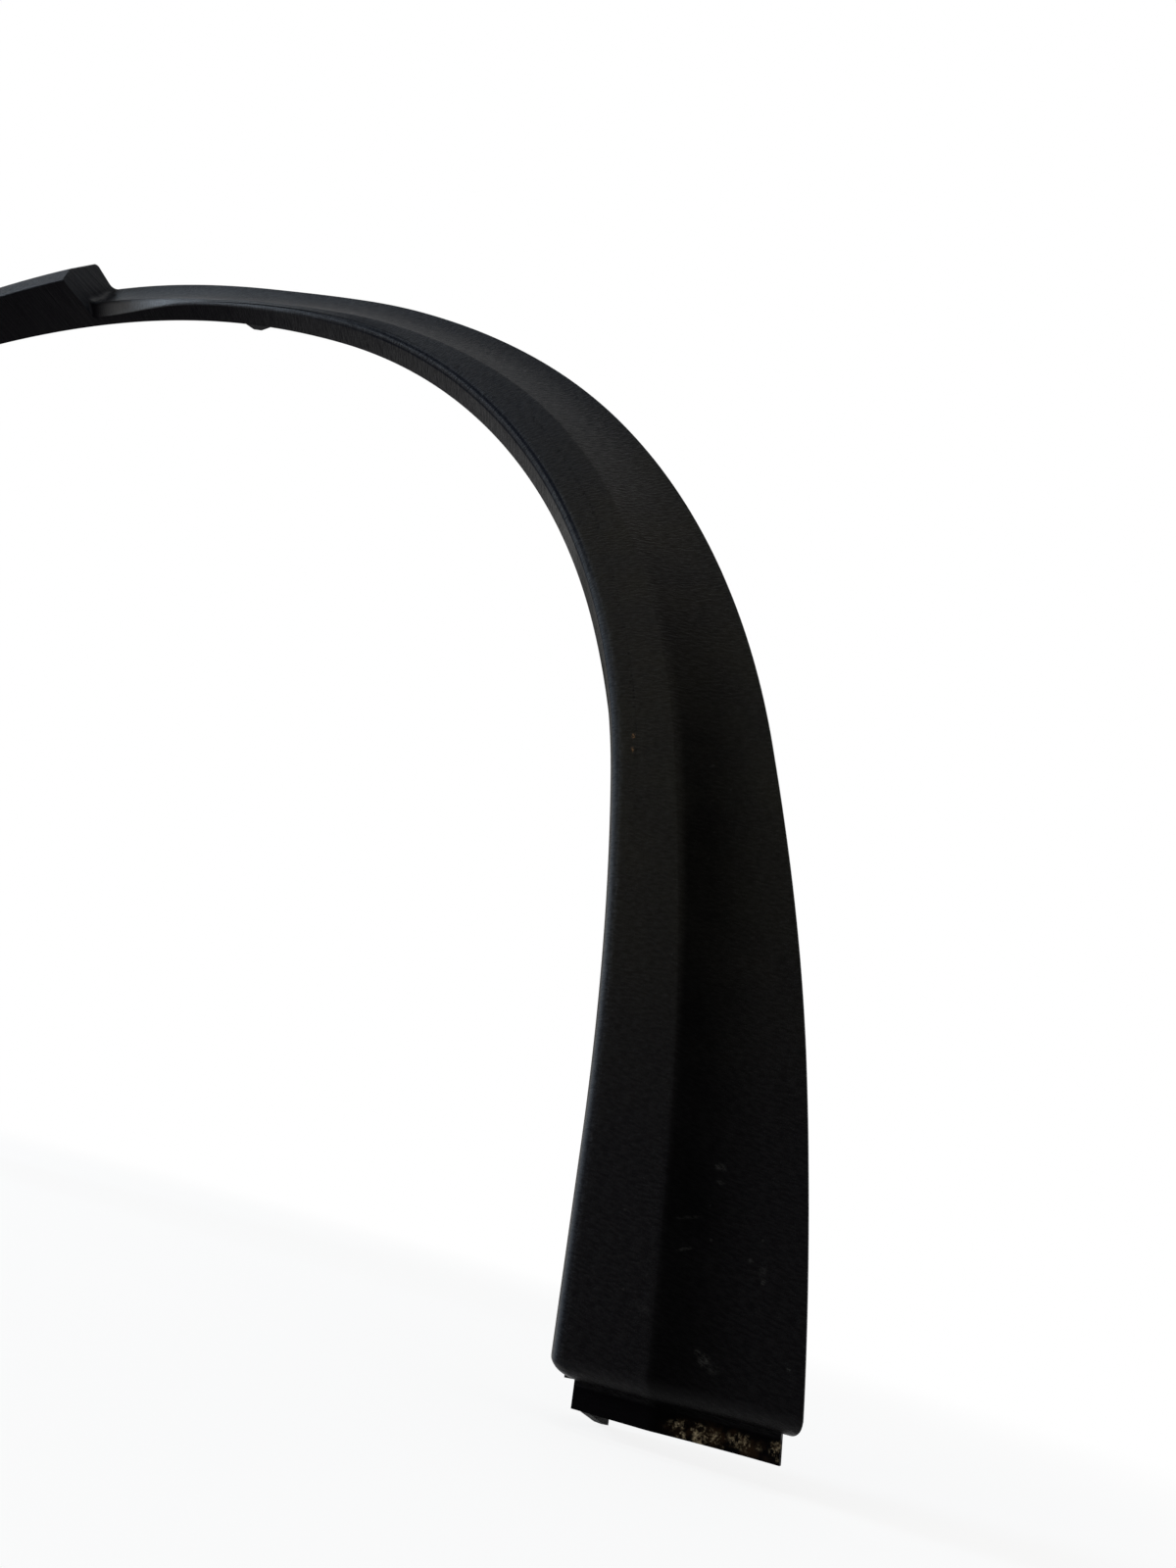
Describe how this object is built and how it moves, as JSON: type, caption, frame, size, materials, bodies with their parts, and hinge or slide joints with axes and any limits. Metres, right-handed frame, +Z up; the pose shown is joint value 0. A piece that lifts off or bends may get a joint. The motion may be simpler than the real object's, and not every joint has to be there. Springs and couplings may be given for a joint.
{
  "type": "wheel arch trim",
  "caption": "Black moulded trim that frames a car's wheel opening, with a rolled inner edge, a raised block, a joggled foot tab and push-in clips.",
  "frame": {"origin": "on the axis of the locating clip, where its flange meets the plane of the car body", "axes": "+X along the car towards the trim's wide foot, +Y inboard into the car body, +Z up"},
  "size_m": [0.9748, 0.0565, 0.4952],
  "materials": {
    "trim_plastic": "fine grained satin, mould in colour",
    "clip_plastic": "smooth satin"
  },
  "bodies": {
    "root": {"trim": "trim_plastic", "clips": "clip_plastic"}
  },
  "joints": []
}
